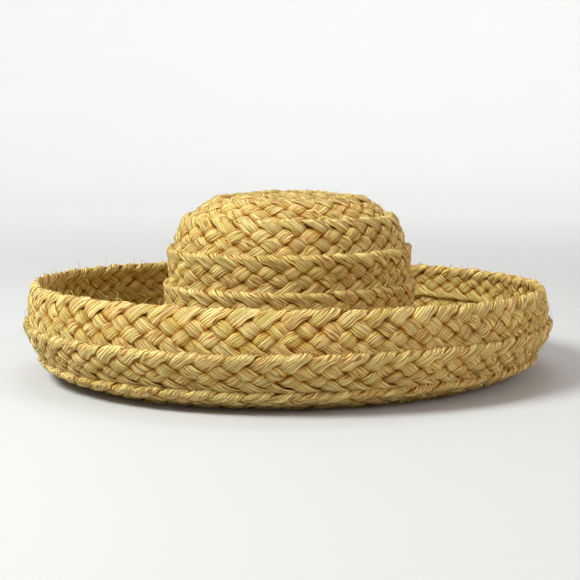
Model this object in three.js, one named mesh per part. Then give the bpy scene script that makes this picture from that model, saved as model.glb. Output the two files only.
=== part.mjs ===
// A kettle brim hat of thick raffia plait, standing on the lowest ring of its brim.
// Millimetres, Z up. The wearer's front faces -Y, and Z = 0 is the surface that it stands on.
//
// The real hat is one long plait, wound from the middle of the crown out to the edge of the brim
// and sewn row to row. Here every row of it is a closed ring, a solid of its own. One line, the
// profile, runs down the middle of the wall from the centre of the crown to the edge of the brim,
// and every row is a band of plait that lies along a stretch of that line.
import * as THREE from 'three';

// The plait
const ROW_PITCH = 26;            // from one seam to the next, along the profile
const PLAIT_WIDTH = 31;          // whole width, with the edge that lies on the next row
const SHOULDER = 8;              // the plait is full this far to each side of its middle
const FULL_HALF_THICKNESS = 2.4; // half the thickness between the shoulders
const EDGE_HALF_THICKNESS = 0.9; // half the thickness at the two edges
const SHINGLE = 2.05;            // how far a row's outer edge stands out below the next row

// The plan
const CROWN_ROWS = 5;            // rings between the tip of the crown and the head opening
const BRIM_ROWS = 6;             // rings between the head opening and the edge of the brim
const OPENING_RADIUS = 94;       // mean radius of the wall at the head opening
const OVAL = 5;                  // the plan is this much longer to the front and shorter to the sides
const SEGMENTS = 48;             // flat steps round each ring

// The profile: how steeply the wall falls (-) or climbs (+), at a length measured along the wall
// from the centre of the crown. It turns evenly from each line of the table to the next.
const PROFILE = [
  { length: 0, slope: 0 },      // centre of the crown
  { length: 46, slope: -6 },    // start of the crown shoulder
  { length: 104, slope: -80 },  // end of the crown shoulder
  { length: 132, slope: -86 },  // crown side
  { length: 146, slope: -80 },  // just above the head opening
  { length: 168, slope: -37 },  // just below the head opening
  { length: 190, slope: -33 },  // brim falling outwards
  { length: 219, slope: -22 },  // start of the roll
  { length: 251, slope: 35 },   // roll, past its lowest ring
  { length: 282, slope: 80 },   // roll, near its widest ring
  { length: 314, slope: 125 },  // edge, curled in over the brim
];
const PROFILE_STEP = 0.5;        // length of the steps in which the profile is walked
const OPENING_LENGTH = (CROWN_ROWS + 1) * ROW_PITCH;
const LOWEST_LENGTH = 231.5;     // where the profile is level, at the bottom of the roll
const FOOT_REACH = 6;            // the stretch past it that still stands level
const RIM_LENGTH = 314;

// The hand-shaped brim isn't quite level: its edge stands highest to one side of the front.
const EDGE_LIFT = 4;
const LIFT_TOWARDS = THREE.MathUtils.degToRad(-70); // angle in the plan, from +X towards +Y

// Raffia colours of the two stretches
const CROWN_STRAW = '#cdb077';
const BRIM_STRAW = '#d3b67c';
const STRAW_ROUGHNESS = 0.85;

function slopeAt(length) {
  const past = PROFILE.findIndex((line) => line.length > length);
  const next = past < 0 ? PROFILE.length - 1 : Math.max(1, past);
  const a = PROFILE[next - 1];
  const b = PROFILE[next];
  const share = Math.min(1, (length - a.length) / (b.length - a.length));
  return THREE.MathUtils.degToRad(a.slope + (b.slope - a.slope) * share);
}

// Walks the profile once and keeps a radius and a height for each step.
function walkProfile() {
  const stations = [{ radius: 0, height: 0 }];
  const count = Math.ceil((RIM_LENGTH + PLAIT_WIDTH) / PROFILE_STEP);
  for (let i = 0; i < count; i += 1) {
    const slope = slopeAt((i + 0.5) * PROFILE_STEP);
    const last = stations[i];
    stations.push({
      radius: last.radius + Math.cos(slope) * PROFILE_STEP,
      height: last.height + Math.sin(slope) * PROFILE_STEP,
    });
  }
  return stations;
}

const STATIONS = walkProfile();
const OPENING_SHORTFALL = OPENING_RADIUS - STATIONS[OPENING_LENGTH / PROFILE_STEP].radius;

// A point of the wall in the plane of the profile. It lies under the profile by the given depth,
// measured square to the wall, which is towards the head in the crown and outwards in the roll.
function wallPoint(length, depth) {
  const place = length / PROFILE_STEP;
  const i = Math.min(Math.floor(place), STATIONS.length - 2);
  const share = place - i;
  const a = STATIONS[i];
  const b = STATIONS[i + 1];
  const slope = slopeAt(length);
  // The crown widens a little towards the opening, to meet the opening's radius exactly.
  const widening = OPENING_SHORTFALL * Math.min(1, length / OPENING_LENGTH);
  const radius = a.radius + (b.radius - a.radius) * share + widening;
  const height = a.height + (b.height - a.height) * share;
  return new THREE.Vector2(
    Math.max(0, radius + Math.sin(slope) * depth),
    height - Math.cos(slope) * depth,
  );
}

// The band of plait across one row: full in the middle, thin at the edges, and tilted so that its
// outer edge lies below the inner edge of the next row.
function halfThickness(across) {
  const beyond = Math.max(0, Math.abs(across) - SHOULDER) / (PLAIT_WIDTH / 2 - SHOULDER);
  return FULL_HALF_THICKNESS + (EDGE_HALF_THICKNESS - FULL_HALF_THICKNESS) * beyond;
}

function shingleDepth(across) {
  return (SHINGLE * across) / (PLAIT_WIDTH / 2);
}

// The corners of a row's section, each with its length along the profile: the under face from the
// inner edge out, and the over face, which lies on the side of the crown's outside, back again.
function rowSection(middle, acrossStations) {
  const corner = (across, side) => {
    const length = middle + across;
    const point = wallPoint(length, shingleDepth(across) + side * halfThickness(across));
    return { length, radius: point.x, height: point.y };
  };
  const under = acrossStations.map((across) => corner(across, 1));
  const over = acrossStations.map((across) => corner(across, -1)).reverse();
  return [...under, ...over];
}

const RING_ACROSS = [-PLAIT_WIDTH / 2, -SHOULDER, SHOULDER, PLAIT_WIDTH / 2];
const FOOT_ROW = CROWN_ROWS + 3;  // the third row of the brim
const FOOT_INNER = 2;            // corners of the foot row's section between which it stands
const FOOT_OUTER = 3;
const FOOT_HEIGHT = rowSection((FOOT_ROW + 0.5) * ROW_PITCH, RING_ACROSS)[FOOT_INNER].height;

function ovalReach(radius) {
  return OVAL * Math.min(1, radius / OPENING_RADIUS);
}

// Turns a closed section round the axis, then gives the ring its oval plan and lifted edge.
// The turned points come in order, one whole section after another.
function ringGeometry(section) {
  const points = section.map((corner) => (
    new THREE.Vector2(corner.radius, corner.height - FOOT_HEIGHT)
  ));
  const geometry = new THREE.LatheGeometry(points, SEGMENTS);
  geometry.rotateX(Math.PI / 2);
  const position = geometry.attributes.position;
  for (let i = 0; i < position.count; i += 1) {
    const x = position.getX(i);
    const y = position.getY(i);
    const radius = Math.hypot(x, y);
    if (radius > 0) {
      const angle = Math.atan2(y, x);
      const growth = 1 - (ovalReach(radius) * Math.cos(2 * angle)) / radius;
      const past = section[i % section.length].length - LOWEST_LENGTH - FOOT_REACH;
      const rise = Math.max(0, past / (RIM_LENGTH - LOWEST_LENGTH - FOOT_REACH));
      const lift = EDGE_LIFT * rise * rise * Math.cos(angle - LIFT_TOWARDS);
      position.setXYZ(i, x * growth, y * growth, position.getZ(i) + lift);
    }
  }
  geometry.computeVertexNormals();
  return geometry;
}

function straw(colour) {
  return new THREE.MeshStandardMaterial({
    color: colour,
    roughness: STRAW_ROUGHNESS,
    metalness: 0,
  });
}

// The tip is the start of the winding, a shallow disc without a hole.
function crownTip() {
  const middle = ROW_PITCH / 2;
  const section = rowSection(middle, [-middle, SHOULDER, PLAIT_WIDTH / 2]);
  const mesh = new THREE.Mesh(ringGeometry(section), straw(CROWN_STRAW));
  mesh.name = 'crown_tip';
  return mesh;
}

// A row is a ring. The lowest one has its under face levelled, so that the hat stands flat.
function plaitRow(name, index, colour) {
  const section = rowSection((index + 0.5) * ROW_PITCH, RING_ACROSS);
  if (index === FOOT_ROW) {
    section[FOOT_OUTER].height = section[FOOT_INNER].height;
  }
  const mesh = new THREE.Mesh(ringGeometry([...section, section[0]]), straw(colour));
  mesh.name = name;
  return mesh;
}

const hat = new THREE.Group();
hat.name = 'kettle_brim_hat';
hat.add(crownTip());
for (let row = 1; row <= CROWN_ROWS; row += 1) {
  hat.add(plaitRow(`crown_row_${row}`, row, CROWN_STRAW));
}
for (let row = 1; row <= BRIM_ROWS; row += 1) {
  hat.add(plaitRow(`brim_row_${row}`, CROWN_ROWS + row, BRIM_STRAW));
}

export default hat;
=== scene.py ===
# %% [markdown]
# # A kettle brim hat of raffia plait
# The real hat is one flat plait of five raffia bundles, wound from the middle of the crown out to
# the edge of the brim and sewn row to row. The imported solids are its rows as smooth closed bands.
# A bump map could hint at the weave, but here the light falls between the bundles and their tips
# stand proud of the outline. So the bundles are modelled as grooved ribbons that run over and
# under each other, and the solids stay behind them for the physics.

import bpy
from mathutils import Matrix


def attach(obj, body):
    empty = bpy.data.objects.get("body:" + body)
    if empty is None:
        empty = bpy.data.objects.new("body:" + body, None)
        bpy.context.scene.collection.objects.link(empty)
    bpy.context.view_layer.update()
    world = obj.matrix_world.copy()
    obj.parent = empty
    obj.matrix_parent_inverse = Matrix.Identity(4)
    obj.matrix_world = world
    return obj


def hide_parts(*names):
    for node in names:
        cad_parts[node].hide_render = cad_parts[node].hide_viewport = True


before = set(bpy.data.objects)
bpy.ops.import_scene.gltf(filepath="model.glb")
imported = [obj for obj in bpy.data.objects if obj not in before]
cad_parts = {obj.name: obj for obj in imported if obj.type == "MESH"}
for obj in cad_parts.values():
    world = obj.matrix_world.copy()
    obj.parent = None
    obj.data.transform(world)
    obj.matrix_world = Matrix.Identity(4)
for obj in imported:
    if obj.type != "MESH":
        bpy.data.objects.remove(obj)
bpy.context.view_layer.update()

# %% Modules
import math

import bpy
import numpy as np
from mathutils import Vector
from mathutils.bvhtree import BVHTree

MM = 0.001
print("Blender", bpy.app.version_string)

# %% [markdown]
# ## The wall of the hat
# All rows lie along one line, the profile, which runs down the middle of the wall from the centre
# of the crown to the edge of the brim. The strands could be shrink-wrapped onto the solids, but
# the solids are faceted. It is cleaner to repeat the few values that shape them, in millimetres,
# and to ask one function for any point of the wall. Only the overlap of the rows is deeper here,
# because the solids stay a hair apart where the real rows are sewn together.

# %% Sizes of the plait and of the plan
ROW_PITCH = 26
PLAIT_WIDTH = 31
SHOULDER = 8                     # a solid row is full this far to each side of its middle
FULL_HALF_THICKNESS = 2.4
SHINGLE = 2.45                   # how far a row's outer edge stands out below the next row
CROWN_ROWS = 5
BRIM_ROWS = 6
FOOT_ROW = CROWN_ROWS + 3        # the third row of the brim, on which the hat rests
OPENING_RADIUS = 94
OVAL = 5                         # the plan is this much longer to the front, shorter to the sides
OPENING_LENGTH = (CROWN_ROWS + 1) * ROW_PITCH
LOWEST_LENGTH = 231.5            # where the profile is level, at the bottom of the roll
FOOT_REACH = 6                   # the stretch past it that still stands level
LEVEL_LENGTH = LOWEST_LENGTH + FOOT_REACH
RIM_LENGTH = 314
EDGE_LIFT = 4
LIFT_TOWARDS = math.radians(-70)
print("Length along the wall to the edge of the brim:", RIM_LENGTH, "mm")

# %% Slope of the wall, in degrees, at a length from the centre of the crown
PROFILE = (
    (0, 0),
    (46, -6),
    (104, -80),
    (132, -86),
    (146, -80),
    (168, -37),
    (190, -33),
    (219, -22),
    (251, 35),
    (282, 80),
    (RIM_LENGTH, 125),
)
PROFILE_LENGTHS = [length for length, slope in PROFILE]
PROFILE_SLOPES = [slope for length, slope in PROFILE]
PROFILE_STEP = 0.5


def slope_at(length):
    return np.radians(np.interp(length, PROFILE_LENGTHS, PROFILE_SLOPES))


step_count = math.ceil((RIM_LENGTH + PLAIT_WIDTH) / PROFILE_STEP)
step_slopes = slope_at((np.arange(step_count) + 0.5) * PROFILE_STEP)
STEP_LENGTHS = np.arange(step_count + 1) * PROFILE_STEP
STEP_RADII = np.concatenate([[0], np.cumsum(np.cos(step_slopes) * PROFILE_STEP)])
STEP_HEIGHTS = np.concatenate([[0], np.cumsum(np.sin(step_slopes) * PROFILE_STEP)])
SHORTFALL = OPENING_RADIUS - np.interp(OPENING_LENGTH, STEP_LENGTHS, STEP_RADII)
print("The crown widens by", round(float(SHORTFALL), 2), "mm down to the opening")


# %% Any point of the wall
def row_length(row, across=0):
    """Length along the profile at a distance across a row, from the row's middle line."""
    return (row + 0.5) * ROW_PITCH + across


def profile_point(length, depth):
    """Radius and height at a length along the profile, at a depth under it, all in mm."""
    slope = slope_at(length)
    radius = np.interp(length, STEP_LENGTHS, STEP_RADII)
    radius = radius + SHORTFALL * np.clip(length / OPENING_LENGTH, 0, 1)
    height = np.interp(length, STEP_LENGTHS, STEP_HEIGHTS)
    return np.maximum(0, radius + np.sin(slope) * depth), height - np.cos(slope) * depth


def row_radius(row, across=0):
    return profile_point(row_length(row, across), 0)[0]


def shingle_depth(across):
    """A row's outer edge lies below the inner edge of the next row."""
    return SHINGLE * across / (PLAIT_WIDTH / 2)


FOOT_DEPTH = shingle_depth(SHOULDER) + FULL_HALF_THICKNESS
FOOT_HEIGHT = profile_point(row_length(FOOT_ROW, SHOULDER), FOOT_DEPTH)[1]


def wall_point(row, across, height, angle):
    """A point of a row in metres. Height is measured out of the over face, from mid wall."""
    length = row_length(row, across)
    radius, level = profile_point(length, shingle_depth(across) - height)
    reach = OVAL * np.minimum(1, radius / OPENING_RADIUS)
    radius = radius - reach * np.cos(2 * angle)
    rise = np.maximum(0, (length - LEVEL_LENGTH) / (RIM_LENGTH - LEVEL_LENGTH))
    lift = EDGE_LIFT * rise ** 2 * np.cos(angle - LIFT_TOWARDS)
    x = radius * np.cos(angle)
    y = radius * np.sin(angle)
    return np.stack([x, y, level - FOOT_HEIGHT + lift], axis=-1) * MM


def wall_normal(row, across, height, angle):
    """The direction out of the over face."""
    step = wall_point(row, across, height + 1, angle) - wall_point(row, across, height, angle)
    return step / np.linalg.norm(step, axis=-1, keepdims=True)


print("Top of the crown in metres:", wall_point(0, -ROW_PITCH / 2, FULL_HALF_THICKNESS, 0)[2])

# %% [markdown]
# ## The path of a ribbon
# The photo shows four columns of crossings in each row, with a long leaf-shaped cell at either
# edge. That is a flat plait of five bundles, over one and under one, each folded over flat where
# it turns back at an edge, and the leaves are those folds. A rounded turn would leave a hook and a
# hole there. So each bundle is laid out as a straight ribbon on an endless flat sheet, and one
# function folds the sheet round both edges of the plait. Places along it are counted in stations:
# 0 is the outer fold, 5 is the inner fold, and the eight between them are crossings.

# %% Sizes of the weave
STRANDS = 5
LOOP_PITCH = 18
STATIONS = 10
FIRST_CROSSING = 1
LAST_CROSSING = STATIONS / 2 - 1
COLUMN_PITCH = 6.0
SWING = 1.5                      # how far a ribbon passes over and under mid wall
FOLD_CENTRE = (COLUMN_PITCH * STATIONS / 2 - math.pi * SWING) / 2
STATION_LENGTH = math.hypot(COLUMN_PITCH, LOOP_PITCH / 2)
SLANT = math.asin(COLUMN_PITCH / STATION_LENGTH)
print("Slant of the ribbons:", round(math.degrees(SLANT), 1), "degrees")
print("Fold to fold:", round(2 * (FOLD_CENTRE + SWING), 1), "mm")


# %% Fold a flat ribbon round the edges of the plait
def from_outer_fold(station):
    """Stations past the outer fold, from -5 to 5."""
    return np.mod(station + STATIONS / 2, STATIONS) - STATIONS / 2


def folded(station):
    """Distance across the row, and the angle that the ribbon's face has turned through."""
    past_outer = from_outer_fold(station)
    past_inner = from_outer_fold(station - STATIONS / 2)
    outer_half = np.abs(past_outer) < np.abs(past_inner)
    past = np.where(outer_half, past_outer, past_inner) * COLUMN_PITCH
    side = np.where(outer_half, 1.0, -1.0)
    arc = np.clip(past / SWING, -math.pi / 2, math.pi / 2)
    straight = np.maximum(0, np.abs(past) - SWING * math.pi / 2)
    return side * (FOLD_CENTRE + SWING * np.cos(arc) - straight), side * arc


def swing_of(station, lag, facing):
    """Height over or under mid wall. The lag grows towards the sides of the ribbon, so that its
    crests run along the ribbons that it crosses."""
    past = from_outer_fold(station)
    crossing = np.clip(np.abs(past) - np.sign(past) * lag, FIRST_CROSSING, LAST_CROSSING)
    return SWING * np.sin(facing) * np.cos(math.pi * (crossing - 1))


for station in range(STATIONS):
    across, facing = folded(station)
    height = swing_of(station, 0, facing)
    print(f"Station {station}: {across:.1f} mm across, {height:.1f} mm over mid wall")

# %% [markdown]
# ## The section of a ribbon
# A bundle of raffia is a flat lens of several split leaves. It is widest where it crosses
# over another bundle and pulled in where it dives under. A bevelled curve would keep one section
# all the way, so the mesh is made from rings of points whose width, thickness and grooves change
# along the ribbon.

# %% Section of a ribbon
FULL_HALF_WIDTH = 6.1
NECK_HALF_WIDTH = 5.0
HALF_THICKNESS = 1.65
FACE_POINTS = 11
EDGE_ROUNDING = 2.3
EDGE_FULLNESS = 0.62
face_places = np.linspace(-1, 1, FACE_POINTS + 2)
SECTION_ACROSS = np.concatenate([face_places, face_places[-2:0:-1]])
SECTION_SIDE = np.concatenate([np.ones(FACE_POINTS + 2), -np.ones(FACE_POINTS)])
SECTION_BULGE = SECTION_SIDE * (1 - np.abs(SECTION_ACROSS) ** EDGE_ROUNDING) ** EDGE_FULLNESS
SECTION_POINTS = len(SECTION_ACROSS)


def ribbon_half_width(station):
    widening = FULL_HALF_WIDTH - NECK_HALF_WIDTH
    return NECK_HALF_WIDTH + widening * np.cos(math.pi * station) ** 2


print("Points in a section:", SECTION_POINTS)

# %% [markdown]
# ## Uneven handwork
# No two cells of the real plait are alike. Noise on every point would look like damage, so each
# crossing gets a random value of its own, which fades evenly into the next one along the ribbon.
# The values are drawn in a fixed order from one seed, so that each run gives the same hat.

# %% Values that wander along a ribbon
SEED = 58
rng = np.random.default_rng(SEED)


def smooth(share):
    """Turns even steps from 0 to 1 into ones that start and end slowly."""
    return share * share * (3 - 2 * share)


def wander(crossings, station, size):
    """Random values, one to a crossing of a closed ribbon, with smooth steps between them."""
    values = rng.normal(0, size, crossings)
    at = np.floor(station).astype(int)
    share = smooth(station - at)
    return values[at % crossings] * (1 - share) + values[(at + 1) % crossings] * share


print("A sample:", np.round(wander(10, np.arange(0, 3, 0.5), 1.0), 2))

# %% [markdown]
# ## Meshes from arrays
# The plait is twelve long ribbons, and its loose fibres and stitches are thousands of thin tubes.
# Curve objects would be slow for so many and would lose the values that the materials read. So one
# function turns rings of points into the faces of a tube, and another keeps two values at each
# point: where it lies along and across the fibres, and how far it stands out of the weave.


# %% Turn rings of points into tubes
def tube_faces(rings, section, closed):
    """The four corners of each face between rings of points. A closed tube meets its start."""
    ring = np.arange(rings if closed else rings - 1)[:, None]
    point = np.arange(section)[None, :]
    after = (ring + 1) % rings
    beside = (point + 1) % section
    corners = (ring * section + point, after * section + point,
               after * section + beside, ring * section + beside)
    full = (len(ring), section)
    return np.stack([np.broadcast_to(corner, full) for corner in corners], axis=-1).reshape(-1, 4)


def new_object(name, points, faces):
    """An object in the scene, made from an array of points in metres and a list of faces."""
    mesh = bpy.data.meshes.new(name)
    mesh.from_pydata(points.reshape(-1, 3).tolist(), [], faces)
    mesh.shade_smooth()
    made = bpy.data.objects.new(name, mesh)
    bpy.context.scene.collection.objects.link(made)
    return made


def straw_object(name, points, faces, fibre, exposure):
    """An object that keeps, at each point, its place on the fibres and how far it stands out, which
    sets its painted shade.
    """
    made = new_object(name, points, faces)
    stored = made.data.attributes.new("fibre", "FLOAT_VECTOR", "POINT")
    stored.data.foreach_set("vector", fibre.astype(np.float32).ravel())
    stored = made.data.attributes.new("exposure", "FLOAT", "POINT")
    stored.data.foreach_set("value", exposure.astype(np.float32).ravel())
    return made


print("Faces round one step of a ribbon:", len(tube_faces(2, SECTION_POINTS, False)))

# %% [markdown]
# ## One row as one closed ribbon
# Five bundles run round each row. Where the loops of a row aren't a multiple of five, the end of
# one bundle meets the start of the next, so a single closed ribbon of five laps makes the whole
# row. Joining five separate ribbons would need five hidden ends in each row, and this needs none.

# %% Sections along the ribbon of a row
SECTIONS_PER_LOOP = 34
CLOSER_AT_FOLDS = 0.3
GROOVE = 0.24
GROOVE_FADE = 4                  # a higher power takes the grooves closer to the ribbon's sides
GROOVE_WANDER = 0.18


def loops_of(row):
    """How often a row's ribbon goes across and back, which is never a multiple of five."""
    loops = round(2 * math.pi * row_radius(row) / LOOP_PITCH)
    return loops + 1 if loops % STRANDS == 0 else loops


def stations_of(loops):
    """Places of the sections, closer together round the folds."""
    even = np.arange(loops * SECTIONS_PER_LOOP) * STATIONS / SECTIONS_PER_LOOP
    turn = 2 * math.pi / (STATIONS / 2)
    return even - CLOSER_AT_FOLDS * np.sin(turn * even) / turn


def grooves(crossings, station):
    """Leaves of the bundle: alternate points of the section stand in or out."""
    ridges = np.where(np.arange(SECTION_POINTS) % 2 == 0, GROOVE, -GROOVE)
    inside = 1 - np.abs(SECTION_ACROSS) ** GROOVE_FADE
    strays = [wander(crossings, station, GROOVE_WANDER) for point in range(SECTION_POINTS)]
    return (ridges + np.stack(strays, axis=1)) * inside * SECTION_SIDE


print("Loops of each row:", [loops_of(row) for row in range(CROWN_ROWS + 1 + BRIM_ROWS)])

# %% Shape of the ribbon of a row
WIDTH_WANDER = 0.06              # shares of the width, the thickness and the swing
THICKNESS_WANDER = 0.08
SWING_WANDER = 0.1
TILT_WANDER = 0.05               # a height for each mm towards the ribbon's side
HEIGHT_WANDER = 0.15             # distances in mm
ACROSS_WANDER = 0.35
ROUND_WANDER = 0.5
TIP_SQUEEZE = 0.9                # narrows the first row, which ends at the crown's centre


def ribbon_shape(row, station, crossings):
    """Distance across, height, angle and exposure of each point of the ribbon's sections."""
    radius = row_radius(row)
    width = ribbon_half_width(station) * (1 + wander(crossings, station, WIDTH_WANDER))
    thickness = HALF_THICKNESS * (1 + wander(crossings, station, THICKNESS_WANDER))
    sideways = width[:, None] * SECTION_ACROSS
    outwards = thickness[:, None] * SECTION_BULGE + grooves(crossings, station)

    # Each point of a section lies at a station of its own on the flat sheet.
    own_station = station[:, None] + sideways * math.cos(SLANT) / COLUMN_PITCH
    across, facing = folded(own_station)
    lag = sideways * (math.cos(SLANT) / COLUMN_PITCH - 1 / math.tan(2 * SLANT) / STATION_LENGTH)
    height = swing_of(own_station, lag, facing)
    height = height * (1 + wander(crossings, station, SWING_WANDER)[:, None])
    height = height + wander(crossings, station, HEIGHT_WANDER)[:, None]
    height = height + sideways * wander(crossings, station, TILT_WANDER)[:, None]
    out_of_face = outwards * np.sin(facing)
    out_of_edge = outwards * np.cos(facing)
    # How far each point stands out of the weave; the straw colour paints shade, golden then deep
    # brown, where this is low.
    exposure = (height + out_of_face) * np.sign(out_of_face) + np.sign(across) * out_of_edge

    across = across + out_of_edge + wander(crossings, station, ACROSS_WANDER)[:, None]
    if row == 0:
        across = FOLD_CENTRE - (FOLD_CENTRE - across) * TIP_SQUEEZE
    angle = 2 * math.pi * STRANDS * station / crossings
    angle = angle + wander(crossings, station, ROUND_WANDER) / radius
    angle = angle[:, None] - sideways * math.sin(SLANT) / radius
    return across, height + out_of_face, angle, exposure / (SWING + HALF_THICKNESS)


print("Greatest height over mid wall:", SWING + HALF_THICKNESS, "mm before it wanders")

# %% Build the ribbon of a row
FLOOR_CLEARANCE = 0.3


def build_ribbon(name, row):
    crossings = loops_of(row) * STATIONS
    station = stations_of(loops_of(row))
    across, height, angle, exposure = ribbon_shape(row, station, crossings)
    points = wall_point(row, across, height, angle)
    points[:, :, 2] = np.maximum(points[:, :, 2], FLOOR_CLEARANCE * MM)

    # The length runs up to half way round and back, so that it closes without a jump.
    fibre = np.empty(points.shape)
    fibre[:, :, 0] = (np.minimum(station, crossings - station) * STATION_LENGTH)[:, None]
    fibre[:, :, 1] = SECTION_ACROSS * FULL_HALF_WIDTH
    fibre[:, :, 2] = row
    faces = tube_faces(len(station), SECTION_POINTS, True).tolist()
    return straw_object(name, points, faces, fibre, exposure)


print("Nothing comes closer to the floor than", FLOOR_CLEARANCE, "mm")

# %% [markdown]
# ## Dress every row
# Each woven row stands for one node of the solids, rides on the same body and takes its finish
# from the same slot of the record. One object for the whole hat would be shorter to write, but
# then no row could be hidden, changed or studied by itself.

# %% Dress the rows
ROWS = [("crown_tip", "crown_straw")]
ROWS += [(f"crown_row_{i}", "crown_straw") for i in range(1, CROWN_ROWS + 1)]
ROWS += [(f"brim_row_{i}", "brim_straw") for i in range(1, BRIM_ROWS + 1)]

plaits = []
dressed = []
for row, (node, slot) in enumerate(ROWS):
    plait = build_ribbon(f"{node}_plait", row)
    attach(plait, "root")
    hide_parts(node)
    plaits.append(plait)
    dressed.append((plait, slot))
    print(plait.name, "triangles:", 2 * len(plait.data.polygons))

# %% [markdown]
# ## Loose fibres
# Where the leaves are split and folded, short ends stand out of the straw, most of all along the
# edge of a row that lies on the next one, and the photo shows them as a curly golden fringe.
# Particle hair would do it, but it isn't a mesh. Here each fibre is a thin bent tube of three
# sides, closed at both ends, which starts inside a fold or a bundle, curls and lifts off the wall.

# %% Thin tubes along many middle lines
SIDES = 3
CORNER_TURNS = np.radians([90, -30, -150])
ALMOST_NOTHING = 1e-12           # keeps a line without length from being divided by zero


def unit(vectors):
    return vectors / (np.linalg.norm(vectors, axis=-1, keepdims=True) + ALMOST_NOTHING)


def thin_tubes(middle, outward, half_width, half_thickness, tip):
    """Rings of three points round each middle line, which shrink evenly to the share tip."""
    along = unit(np.gradient(middle, axis=1))
    side = unit(np.cross(outward, along))
    up = np.cross(along, side)
    taper = np.linspace(1, tip, middle.shape[1])[None, :, None, None]
    turn = CORNER_TURNS[None, None, :, None]
    wide = side[:, :, None, :] * np.cos(turn) * half_width
    thick = up[:, :, None, :] * np.sin(turn) * half_thickness
    points = middle[:, :, None, :] + (wide + thick) * taper * MM
    points[..., 2] = np.maximum(points[..., 2], FLOOR_CLEARANCE * MM)
    return points


def thin_tube_faces(count, rings):
    """Faces of many separate tubes of three sides, closed at both ends."""
    first = (np.arange(count) * rings * SIDES)[:, None, None]
    walls = tube_faces(rings, SIDES, False)[None] + first
    ends = np.array([[0, 1, 2], [2, 1, 0]]) + np.array([[0], [SIDES * (rings - 1)]])
    return walls.reshape(-1, 4).tolist() + (ends[None] + first).reshape(-1, SIDES).tolist()


print("Faces of one loose tube of six rings:", len(thin_tube_faces(1, 6)))

# %% Sizes of the loose fibres
FIBRES_PER_MM = 0.58
FIBRE_POINTS = 6
FIBRE_HALF_WIDTH = 0.27
FIBRE_HALF_THICKNESS = 0.14
FIBRE_TIP = 0.35
OUTER_EDGE_SHARE = 0.55
INNER_EDGE_SHARE = 0.2
EDGE_ROOT = 13.4                 # where the fibres of an edge start, across the row
EDGE_ROOT_WANDER = 0.7
EDGE_ROOT_REACH = 1.2            # and how far from mid wall, at most
FACE_ROOT_REACH = 13             # the same two sizes for the fibres that start on a face
FACE_ROOT_HEIGHT = 1.6
EDGE_HEADINGS = (0.1, 1.2)       # turned from the direction round the hat, in radians
HEADING_WANDER = 0.35
CURL = 1.4                       # how far the heading turns from root to tip, in radians
LENGTH_EVENNESS = 4.0            # the product of this and the next is the mean length in mm
LENGTH_SCALE = 1.45
RISE = 1.1
LEAST_RISE = 0.4
DROOPS = (0.4, 1.4)              # over 1, a fibre bends back before its tip
CENTRE_CLEARANCE = 3             # how close to the crown's centre the first row's fibres come
print("Mean length of a loose fibre:", round(LENGTH_EVENNESS * LENGTH_SCALE, 1), "mm")


# %% Middle lines of the loose fibres of a row
def either_way(count):
    """One or minus one for each fibre, by chance."""
    return np.where(rng.random(count) < 0.5, 1.0, -1.0)


def fibre_paths(row):
    """Distance across, height and angle along the middle of each loose fibre."""
    radius = row_radius(row)
    count = round(2 * math.pi * radius * FIBRES_PER_MM)
    share = np.linspace(0, 1, FIBRE_POINTS)[None, :]
    kind = rng.random(count)
    at_outer = kind < OUTER_EDGE_SHARE
    at_inner = kind > 1 - INNER_EDGE_SHARE
    at_edge = at_outer | at_inner
    outward = np.where(at_outer, 1.0, np.where(at_inner, -1.0, either_way(count)))
    face = np.where(at_edge, -outward, either_way(count))
    root = outward * rng.normal(EDGE_ROOT, EDGE_ROOT_WANDER, count)
    root = np.where(at_edge, root, rng.uniform(-FACE_ROOT_REACH, FACE_ROOT_REACH, count))
    root_height = rng.uniform(-EDGE_ROOT_REACH, EDGE_ROOT_REACH, count)
    root_height = np.where(at_edge, root_height, face * FACE_ROOT_HEIGHT)
    heading = rng.uniform(*EDGE_HEADINGS, count)
    heading = np.where(at_edge, heading, rng.normal(SLANT, HEADING_WANDER, count))
    heading = heading[:, None] + rng.normal(0, CURL, count)[:, None] * share
    forwards = either_way(count)[:, None]
    length = rng.gamma(LENGTH_EVENNESS, LENGTH_SCALE, count)[:, None]
    rise = np.abs(rng.normal(0, RISE, count))[:, None] + LEAST_RISE
    droop = rng.uniform(*DROOPS, count)[:, None]
    across = root[:, None] + outward[:, None] * length * share * np.sin(heading)
    if row == 0:
        across = np.maximum(across, CENTRE_CLEARANCE - ROW_PITCH / 2)
    height = root_height[:, None] + face[:, None] * rise * (2 * share - droop * share ** 2)
    angle = rng.uniform(0, 2 * math.pi, count)[:, None]
    return across, height, angle + forwards * length * share * np.cos(heading) / radius


print("Loose fibres for each mm round a row:", FIBRES_PER_MM)

# %% Grow the loose fibres of the crown and of the brim
FIBRE_STEP = 2.0                 # length from ring to ring on the leaf that colours a fibre
FIBRE_TONE_REACH = 900           # each fibre is coloured from a place of its own on the leaves
# How much of the painted shade, golden then deep brown, each loose fibre takes, drawn at random.
FIBRE_EXPOSURES = (0.4, 0.85)
FIBRE_SETS = [
    ("crown_loose_fibres", "crown_straw", range(CROWN_ROWS + 1)),
    ("brim_loose_fibres", "brim_straw", range(CROWN_ROWS + 1, len(ROWS))),
]


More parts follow.
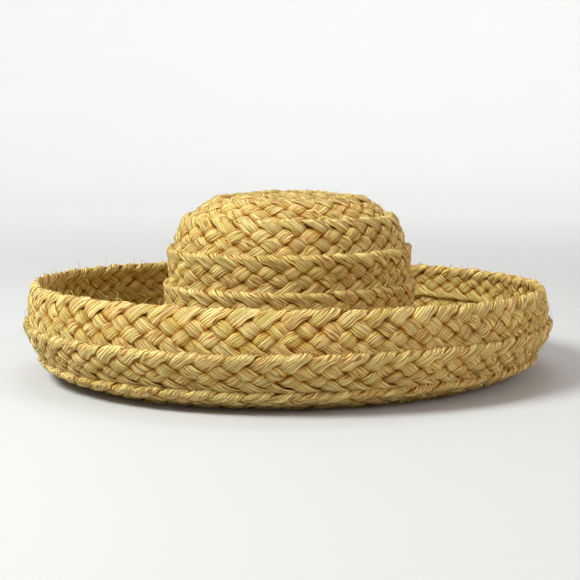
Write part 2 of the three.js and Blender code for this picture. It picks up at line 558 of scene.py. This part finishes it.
def build_fibres(name, rows):
    tubes = []
    places = []
    for row in rows:
        across, height, angle = fibre_paths(row)
        middle = wall_point(row, across, height, angle)
        outward = wall_normal(row, across, height, angle)
        points = thin_tubes(middle, outward, FIBRE_HALF_WIDTH, FIBRE_HALF_THICKNESS, FIBRE_TIP)
        place = np.empty(points.shape)
        place[..., 0] = (np.arange(FIBRE_POINTS) * FIBRE_STEP)[None, :, None]
        place[..., 1] = rng.uniform(0, FIBRE_TONE_REACH, len(points))[:, None, None]
        place[..., 2] = row
        tubes.append(points)
        places.append(place)
    points = np.concatenate(tubes)
    faces = thin_tube_faces(len(points), FIBRE_POINTS)
    exposure = np.empty(points.shape[:-1])
    exposure[...] = rng.uniform(*FIBRE_EXPOSURES, len(points))[:, None, None]
    return straw_object(name, points, faces, np.concatenate(places), exposure)


for name, slot, rows in FIBRE_SETS:
    made = build_fibres(name, rows)
    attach(made, "root")
    dressed.append((made, slot))
    print(name, "faces:", len(made.data.polygons))

# %% [markdown]
# ## Sewing thread
# The rows overlap by a few millimetres and are sewn through along that overlap, so each seam shows
# as a line of short stitches on both faces, pulled down into the straw. A bevelled curve would do
# for one stitch. There are thousands, so they are thin tubes in one mesh. Rays cast onto the woven
# rows from outside find where each stitch lies, and its two ends are sunk in.

# %% Middle lines of the stitches on one face of a row
STITCH_PITCH = 5.0
STITCH_SHARE = 0.74              # the part of each pitch that shows on the face
STITCH_ACROSS = 12.0
STITCH_WANDER = 0.3
STITCH_POINTS = np.array([0.0, 0.28, 0.72, 1.0])
STITCH_LIFTS = np.array([-1.0, 0.12, 0.12, -1.0])
RAY_START = 8                    # the rays set out this far from mid wall


def stitch_lines(row, across, face):
    """Middle lines at a distance across the row, and the directions out of its face there."""
    count = round(2 * math.pi * row_radius(row, across) / STITCH_PITCH)
    turns = (np.arange(count)[:, None] + STITCH_POINTS * STITCH_SHARE) / count
    angle = turns * 2 * math.pi
    place = across + rng.normal(0, STITCH_WANDER, count)[:, None] + np.zeros(angle.shape)
    start = wall_point(row, place, face * RAY_START, angle)
    outward = wall_normal(row, place, face * RAY_START, angle) * face
    woven = BVHTree.FromObject(plaits[row], bpy.context.evaluated_depsgraph_get())
    met = np.full(start.shape, np.nan)
    for at in np.ndindex(angle.shape):
        hit = woven.ray_cast(Vector(start[at]), Vector(-outward[at]), 2 * RAY_START * MM)[0]
        if hit is not None:
            met[at] = hit
    whole = ~np.isnan(met).any(axis=(1, 2))
    return (met + outward * STITCH_LIFTS[:, None] * MM)[whole], outward[whole]


print("A stitch shows for", round(STITCH_PITCH * STITCH_SHARE, 1), "mm")

# %% Sew the rows together
THREAD_RADIUS = 0.34
# The thread takes this share of the painted shade, golden then deep brown, all over.
THREAD_EXPOSURE = 0.6
PLY_STEP = 0.3                   # how far the plies turn from corner to corner of the thread
THREAD_TONES = 50                # places on the leaves that the stitches take in turn


def build_stitches(name):
    """Each seam's stitches: under the outer part of one row, over the inner part of the next."""
    tubes = []
    for row in range(CROWN_ROWS + BRIM_ROWS):
        for sewn, across, face in ((row, STITCH_ACROSS, -1), (row + 1, -STITCH_ACROSS, 1)):
            middle, outward = stitch_lines(sewn, across, face)
            tubes.append(thin_tubes(middle, outward, THREAD_RADIUS, THREAD_RADIUS, 1.0))
    points = np.concatenate(tubes)
    along = np.arange(len(STITCH_POINTS))[None, :, None]
    place = np.empty(points.shape)
    place[..., 0] = along
    place[..., 1] = along + np.arange(SIDES)[None, None, :] * PLY_STEP
    place[..., 2] = np.arange(len(points))[:, None, None] % THREAD_TONES
    exposure = np.full(points.shape[:-1], THREAD_EXPOSURE)
    faces = thin_tube_faces(len(points), len(STITCH_POINTS))
    return straw_object(name, points, faces, place, exposure)


stitches = build_stitches("sewing_thread")
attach(stitches, "root")
print("Stitches:", len(stitches.data.vertices) // (SIDES * len(STITCH_POINTS)))

# %% [markdown]
# ## Fibre grain, a shared effect
# Raffia is split leaf, so a bundle is streaked from end to end: narrow leaves with a groove
# between them, fine lines on each leaf, and a colour that drifts slowly. An image could carry
# that, but stretched noise along the fibres needs no unwrapping. The straws and the thread use it,
# so it is one node group that puts out masks and a height, and each material sets its own values.


# %% Helpers for node trees
def new_node(tree, kind, settings=None, **values):
    """Adds a node. Values are numbers for its sockets or links from other nodes. A socket is
    given by its name, or by i and its number among the inputs."""
    node = tree.nodes.new(kind)
    for key, setting in (settings or {}).items():
        setattr(node, key, setting)
    for key, value in values.items():
        socket = node.inputs[int(key[1:]) if key[0] == "i" and key[1:].isdigit() else key]
        if isinstance(value, bpy.types.NodeSocket):
            tree.links.new(value, socket)
        else:
            socket.default_value = value
    return node


def math_node(tree, operation, a, b):
    """One step of arithmetic on two values."""
    return new_node(tree, "ShaderNodeMath", {"operation": operation}, i0=a, i1=b).outputs[0]


def range_node(tree, value, low, high, to_low=0.0, to_high=1.0):
    """A smooth step that starts where the value is low and ends where it is high."""
    settings = {"interpolation_type": "SMOOTHSTEP"}
    return new_node(tree, "ShaderNodeMapRange", settings, i0=value, i1=low, i2=high, i3=to_low,
                    i4=to_high).outputs[0]


def mix_node(tree, share, a, b):
    """Colour b over colour a, by its share."""
    settings = {"data_type": "RGBA"}
    return new_node(tree, "ShaderNodeMix", settings, i0=share, i6=a, i7=b).outputs[2]


def new_group(name, inputs, outputs):
    """A node group with named sockets, with its own input and output nodes."""
    tree = bpy.data.node_groups.new(name, "ShaderNodeTree")
    for socket_name, kind in inputs:
        tree.interface.new_socket(socket_name, in_out="INPUT", socket_type=kind)
    for socket_name, kind in outputs:
        tree.interface.new_socket(socket_name, in_out="OUTPUT", socket_type=kind)
    return tree, tree.nodes.new("NodeGroupInput"), tree.nodes.new("NodeGroupOutput")


NUMBER = "NodeSocketFloat"
VECTOR = "NodeSocketVector"
COLOUR = "NodeSocketColor"
print("Kinds of socket:", NUMBER, VECTOR, COLOUR)

# %% Group: fibre grain, the places on the leaves
ROW_SHIFT = 7.3                  # sets the patterns of the rows apart
BEND_SCALES = (0.22, 0.3, 1.0)
NOISE_MIDDLE = 0.5
grain, grain_in, grain_out = new_group(
    "fibre_grain",
    [("Fibre", VECTOR), ("Leaf Width", NUMBER), ("Leaf Length", NUMBER), ("Wobble", NUMBER)],
    [("Height", NUMBER), ("Groove", NUMBER), ("Leaf Tone", NUMBER), ("Bundle Tone", NUMBER),
     ("Fleck", NUMBER)],
)
bend_place = new_node(grain, "ShaderNodeVectorMath", {"operation": "MULTIPLY"},
                      i0=grain_in.outputs["Fibre"], i1=BEND_SCALES).outputs[0]
bend = new_node(grain, "ShaderNodeTexNoise", Vector=bend_place, Scale=1.0, Detail=1.0)
wobble = math_node(grain, "SUBTRACT", bend.outputs["Fac"], NOISE_MIDDLE)
wobble = math_node(grain, "MULTIPLY", wobble, grain_in.outputs["Wobble"])


def fibre_place(length_share, width_share):
    """A place in the fibre's own space, squeezed so that round patterns come out as streaks."""
    parts = new_node(grain, "ShaderNodeSeparateXYZ", i0=grain_in.outputs["Fibre"])
    length = math_node(grain, "MULTIPLY", grain_in.outputs["Leaf Length"], length_share)
    width = math_node(grain, "MULTIPLY", grain_in.outputs["Leaf Width"], width_share)
    along = math_node(grain, "DIVIDE", parts.outputs[0], length)
    over = math_node(grain, "DIVIDE", parts.outputs[1], width)
    apart = math_node(grain, "MULTIPLY", parts.outputs[2], ROW_SHIFT)
    along = math_node(grain, "ADD", along, apart)
    over = math_node(grain, "ADD", over, math_node(grain, "DIVIDE", wobble, width))
    return new_node(grain, "ShaderNodeCombineXYZ", i0=along, i1=over, i2=apart).outputs[0]


print("Inputs of", grain.name, [socket.name for socket in grain_in.outputs if socket.name])

# %% Group: fibre grain, the patterns
STREAK_ROUGHNESS = 0.55
LINE_SHARES = (0.5, 0.3)         # length and width of a fine line, as shares of a leaf's
LINE_DETAIL = 2.0
BUNDLE_SHARES = (2.2, 3.6)       # and of the slow drift of colour
BUNDLE_DETAIL = 1.0
ROUNDED_EDGE = 0.3               # distances from a leaf's edge
GROOVE_EDGES = (0.13, 0.02)
FLECK_EDGES = (0.5, 0.68)        # values of the fine lines
LINE_RELIEF = 0.6
LEAF_RELIEF = 0.35
leaf_place = fibre_place(1.0, 1.0)


def streaks(shares, detail):
    """Noise drawn out along the fibres."""
    return new_node(grain, "ShaderNodeTexNoise", Vector=fibre_place(*shares), Scale=1.0,
                    Detail=detail, Roughness=STREAK_ROUGHNESS).outputs["Fac"]


def leaf_cells(feature):
    """Long cells, one for each leaf."""
    settings = {"voronoi_dimensions": "2D", "feature": feature}
    return new_node(grain, "ShaderNodeTexVoronoi", settings, Vector=leaf_place, Scale=1.0)


edge_distance = leaf_cells("DISTANCE_TO_EDGE").outputs["Distance"]
leaf_colour = leaf_cells("F1").outputs["Color"]
leaf_tone = new_node(grain, "ShaderNodeSeparateColor", i0=leaf_colour).outputs[0]
lines = streaks(LINE_SHARES, LINE_DETAIL)
relief = math_node(grain, "ADD", range_node(grain, edge_distance, 0.0, ROUNDED_EDGE),
                   math_node(grain, "MULTIPLY", lines, LINE_RELIEF))
relief = math_node(grain, "ADD", relief, math_node(grain, "MULTIPLY", leaf_tone, LEAF_RELIEF))
masks = {
    "Height": relief,
    "Groove": range_node(grain, edge_distance, *GROOVE_EDGES),
    "Leaf Tone": leaf_tone,
    "Bundle Tone": streaks(BUNDLE_SHARES, BUNDLE_DETAIL),
    "Fleck": range_node(grain, lines, *FLECK_EDGES),
}
for mask, value in masks.items():
    grain.links.new(value, grain_out.inputs[mask])
print("Group", grain.name, "nodes:", len(grain.nodes))

# %% [markdown]
# ## Straw colour and painted shade, a shared effect
# The lit leaves are a pale yellow beige, some a little green and some pink, with tan flecks, and
# the grooves between the leaves are a deep golden brown. The sides of a bundle and the gaps between
# bundles are painted golden and then deep brown, by how far each point stands out of the weave:
# that is painted shade, for the shadow and the light bounced inside the weave. A colour ramp
# follows one mask, so the group lays one colour over the last, mask by mask.

# %% Group: straw colour and painted shade
# Each layer has its colour, its mask, where on the mask it starts and is full, and its share.
# A layer without those two places follows its mask evenly.
LAYERS = (
    ("Green", "Bundle Tone", (0.5, 0.36), 1.0),
    ("Pink", "Bundle Tone", (0.52, 0.66), 0.75),
    ("Tan", "Leaf Tone", (0.55, 1.0), 0.5),
    ("Tan", "Fleck", None, 0.5),
    # The two layers on Exposure are painted shade: low points between and beside the bundles turn
    # golden, the lowest deep brown, for shadow and light bounced inside the weave.
    ("Golden", "Exposure", (0.9, 0.38), 0.85),
    ("Deep", "Groove", None, 0.85),
    ("Deep", "Exposure", (0.66, 0.14), 1.0),
)
GRAIN_MASKS = ("Groove", "Leaf Tone", "Bundle Tone", "Fleck")
TONES = ("Pale", "Green", "Pink", "Tan", "Golden", "Deep")
tint, tint_in, tint_out = new_group(
    "straw_colour_and_shade",
    [(mask, NUMBER) for mask in (*GRAIN_MASKS, "Exposure")] + [(tone, COLOUR) for tone in TONES],
    [("Colour", COLOUR)],
)
colour = tint_in.outputs["Pale"]
for tone, mask, places, share in LAYERS:
    if places:
        cover = range_node(tint, tint_in.outputs[mask], *places, 0.0, share)
    else:
        cover = math_node(tint, "MULTIPLY", tint_in.outputs[mask], share)
    colour = mix_node(tint, cover, colour, tint_in.outputs[tone])
tint.links.new(colour, tint_out.inputs["Colour"])
print("Group", tint.name, "nodes:", len(tint.nodes))

# %% [markdown]
# ## The straws
# Raffia is matt with a faint dry sheen. A cloth shader could stand in, but the Principled shader
# carries it with a high roughness and a little sheen, and the groups feed its colour and its bump.


# %% Straw materials
def linear(red, green, blue):
    """A colour as it looks on screen, from 0 to 255, turned into light by the sRGB curve."""
    parts = [value / 255 for value in (red, green, blue)]
    return [p / 12.92 if p <= 0.04045 else ((p + 0.055) / 1.055) ** 2.4 for p in parts] + [1.0]


STRAWS = {
    "crown_straw": {
        "Pale": linear(236, 215, 142),
        "Green": linear(219, 201, 116),
        "Pink": linear(227, 186, 116),
        "Tan": linear(192, 136, 46),
        "Golden": linear(206, 156, 56),
        "Deep": linear(124, 66, 5),
    },
    "brim_straw": {
        "Pale": linear(239, 218, 145),
        "Green": linear(222, 204, 119),
        "Pink": linear(230, 189, 119),
        "Tan": linear(195, 139, 48),
        "Golden": linear(209, 159, 58),
        "Deep": linear(127, 68, 5),
    },
}
RAFFIA = {"Leaf Width": 1.1, "Leaf Length": 34, "Wobble": 0.7}
STRAW_BUMP = 0.6
SHEEN = 0.02
SHEEN_ROUGHNESS = 0.5
SPECULAR = 0.13
ROUGHNESSES = (0.62, 0.82)


def straw_material(name, colours, leaf, bump):
    """A matt fibre: leaf gives the width and length of its leaves, bump their depth, in mm."""
    material = bpy.data.materials.new(name)
    material.use_nodes = True
    tree = material.node_tree
    shader = tree.nodes["Principled BSDF"]
    shader.inputs["Sheen Weight"].default_value = SHEEN
    shader.inputs["Sheen Roughness"].default_value = SHEEN_ROUGHNESS
    shader.inputs["Specular IOR Level"].default_value = SPECULAR
    fibre = new_node(tree, "ShaderNodeAttribute", {"attribute_name": "fibre"}).outputs["Vector"]
    # The exposure steers the painted shade of the straw colour group.
    exposure = new_node(tree, "ShaderNodeAttribute", {"attribute_name": "exposure"}).outputs["Fac"]
    grained = new_node(tree, "ShaderNodeGroup", {"node_tree": grain}, Fibre=fibre, **leaf)
    coloured = new_node(tree, "ShaderNodeGroup", {"node_tree": tint}, Exposure=exposure, **colours)
    for mask in GRAIN_MASKS:
        tree.links.new(grained.outputs[mask], coloured.inputs[mask])
    tree.links.new(coloured.outputs["Colour"], shader.inputs["Base Color"])
    roughness = range_node(tree, grained.outputs["Fleck"], 0.0, 1.0, *ROUGHNESSES)
    tree.links.new(roughness, shader.inputs["Roughness"])
    bumped = new_node(tree, "ShaderNodeBump", Strength=1.0, Distance=bump * MM,
                      Height=grained.outputs["Height"])
    tree.links.new(bumped.outputs["Normal"], shader.inputs["Normal"])
    return material


straws = {}
for name, colours in STRAWS.items():
    straws[name] = straw_material(name, colours, RAFFIA, STRAW_BUMP)
for piece, slot in dressed:
    piece.data.materials.append(straws[slot])
print("Materials:", sorted(straws))

# %% [markdown]
# ## The thread's finish
# A thick matt thread in the colour of the straw, twisted from plies. It is the same kind of
# surface as the raffia at a tenth of the size, so the same groups make it, with a short leaf for a
# ply and tones that are nearly alike.

# %% Thread material
THREAD_COLOURS = {
    "Pale": linear(226, 194, 118),
    "Green": linear(216, 188, 108),
    "Pink": linear(218, 178, 108),
    "Tan": linear(194, 146, 64),
    "Golden": linear(208, 160, 66),
    "Deep": linear(144, 92, 28),
}
PLY = {"Leaf Width": 0.25, "Leaf Length": 2.4, "Wobble": 0.1}
THREAD_BUMP = 0.08
thread = straw_material("straw_coloured_thread", THREAD_COLOURS, PLY, THREAD_BUMP)
stitches.data.materials.append(thread)
print("Material:", thread.name)

# %% [markdown]
# ## Floor and backdrop
# A plain pale stage: a round floor that curves up into a low wall on all sides, so that no horizon
# shows from any side. A sheet behind the hat would serve one camera only. The paint gets paler
# away from the hat, where less light falls, and has the faint mottle of a roller.

# %% Shape of the stage
FLOOR_RADIUS = 2.2
BEND_RADIUS = 0.6
BEND_STEPS = 12
WALL_TOP = 1.3
STAGE_SEGMENTS = 96

stage_outline = [(FLOOR_RADIUS, 0.0)]
for turn in np.linspace(0, math.pi / 2, BEND_STEPS + 1)[1:]:
    stage_outline.append((FLOOR_RADIUS + BEND_RADIUS * math.sin(turn),
                          BEND_RADIUS * (1 - math.cos(turn))))
stage_outline.append((FLOOR_RADIUS + BEND_RADIUS, WALL_TOP))
around = np.arange(STAGE_SEGMENTS) * 2 * math.pi / STAGE_SEGMENTS
stage_points = np.array([[(radius * math.cos(turn), radius * math.sin(turn), level)
                          for turn in around] for radius, level in stage_outline])
stage_faces = tube_faces(len(stage_outline), STAGE_SEGMENTS, False).tolist()
stage_faces.append(list(range(STAGE_SEGMENTS)))
backdrop = new_object("round_backdrop", stage_points, stage_faces)
print("Backdrop faces:", len(stage_faces))

# %% Paint of the stage
NEAR_FLOOR = 0.6
FLOOR_TONE = linear(187, 186, 185)
WALL_TONE = linear(240, 240, 239)
MOTTLE_TONE = linear(160, 158, 154)
MOTTLE_SHARE = 0.04
MOTTLE_SCALE = 9.0
PAINT_ROUGHNESS = 0.8

paint = bpy.data.materials.new("pale_paint")
paint.use_nodes = True
paint_tree = paint.node_tree
place = new_node(paint_tree, "ShaderNodeTexCoord").outputs["Object"]
away = new_node(paint_tree, "ShaderNodeVectorMath", {"operation": "LENGTH"}, i0=place)
away = range_node(paint_tree, away.outputs["Value"], NEAR_FLOOR, FLOOR_RADIUS)
tone = mix_node(paint_tree, away, FLOOR_TONE, WALL_TONE)
patches = new_node(paint_tree, "ShaderNodeTexNoise", Vector=place, Scale=MOTTLE_SCALE, Detail=3.0)
patches = math_node(paint_tree, "MULTIPLY", patches.outputs["Fac"], MOTTLE_SHARE)
tone = mix_node(paint_tree, patches, tone, MOTTLE_TONE)
paint_shader = paint_tree.nodes["Principled BSDF"]
paint_tree.links.new(tone, paint_shader.inputs["Base Color"])
paint_shader.inputs["Roughness"].default_value = PAINT_ROUGHNESS
backdrop.data.materials.append(paint)
print("Paint:", paint.name)

# %% [markdown]
# ## Light and camera
# One large soft light from the upper left, as in the photo, a weaker one from the right, one that
# mostly brightens the backdrop, and an even pale surround. A sun lamp would draw hard lines under
# the rows, where the photo has soft ones. The camera stands on the photo's side of the hat, a
# metre away, and just above the floor.

# %% Directions as the camera sees them
AZIMUTH = math.radians(60)
ELEVATION = math.radians(7)
HAT_MIDDLE = Vector((0, 0, 0.06))
forward = Vector((-math.sin(AZIMUTH), math.cos(AZIMUTH), 0))
rightward = Vector((math.cos(AZIMUTH), math.sin(AZIMUTH), 0))


def from_hat(to_right, towards_camera, up):
    """A place in metres from the floor under the hat, as the camera sees it."""
    return rightward * to_right - forward * towards_camera + Vector((0, 0, up))


BACKDROP_MIDDLE = from_hat(0.1, -2.1, 0.5)
print("The camera looks along", tuple(round(value, 2) for value in forward))

# %% Lights
# Each light has its name, its place by from_hat, its target, its size, its power and its colour.
LIGHTS = (
    ("key_light", (-1.0, 0.6, 1.3), HAT_MIDDLE, 0.7, 40, (0.94, 1.0, 0.99)),
    ("fill_light", (1.3, 1.0, 0.8), HAT_MIDDLE, 0.7, 9.5, (1.0, 0.84, 0.82)),
    ("backdrop_light", (0.1, -0.7, 1.9), BACKDROP_MIDDLE, 1.2, 18, (0.97, 0.99, 1.0)),
)
SURROUND_COLOUR = (1.0, 0.995, 0.965, 1)
SURROUND_STRENGTH = 0.46


def area_light(name, place, target, size, power, colour):
    """A soft round lamp that faces its target."""
    data = bpy.data.lights.new(name, "AREA")
    data.shape = "DISK"
    data.size = size
    data.energy = power
    data.color = colour
    made = bpy.data.objects.new(name, data)
    made.location = place
    made.rotation_mode = "QUATERNION"
    made.rotation_quaternion = (Vector(target) - Vector(place)).to_track_quat("-Z", "Y")
    bpy.context.scene.collection.objects.link(made)


for name, place, target, size, power, colour in LIGHTS:
    area_light(name, from_hat(*place), target, size, power, colour)
world = bpy.data.worlds.new("surround")
world.use_nodes = True
world.node_tree.nodes["Background"].inputs["Color"].default_value = SURROUND_COLOUR
world.node_tree.nodes["Background"].inputs["Strength"].default_value = SURROUND_STRENGTH
bpy.context.scene.world = world
bpy.context.scene.view_settings.view_transform = "Standard"
print("Lights:", [light.name for light in bpy.data.lights])

# %% Camera
CAMERA_DISTANCE = 1.05
VIEW_ANGLE = math.radians(24)
SENSOR_WIDTH = 36
camera_data = bpy.data.cameras.new("camera")
camera_data.sensor_width = SENSOR_WIDTH
camera_data.lens = SENSOR_WIDTH / 2 / math.tan(VIEW_ANGLE / 2)
camera = bpy.data.objects.new("camera", camera_data)
back = -forward * math.cos(ELEVATION) + Vector((0, 0, math.sin(ELEVATION)))
camera.location = HAT_MIDDLE + back * CAMERA_DISTANCE
camera.rotation_mode = "QUATERNION"
camera.rotation_quaternion = (-back).to_track_quat("-Z", "Y")
bpy.context.scene.collection.objects.link(camera)
bpy.context.scene.camera = camera
print("Camera at", tuple(round(value, 3) for value in camera.location))
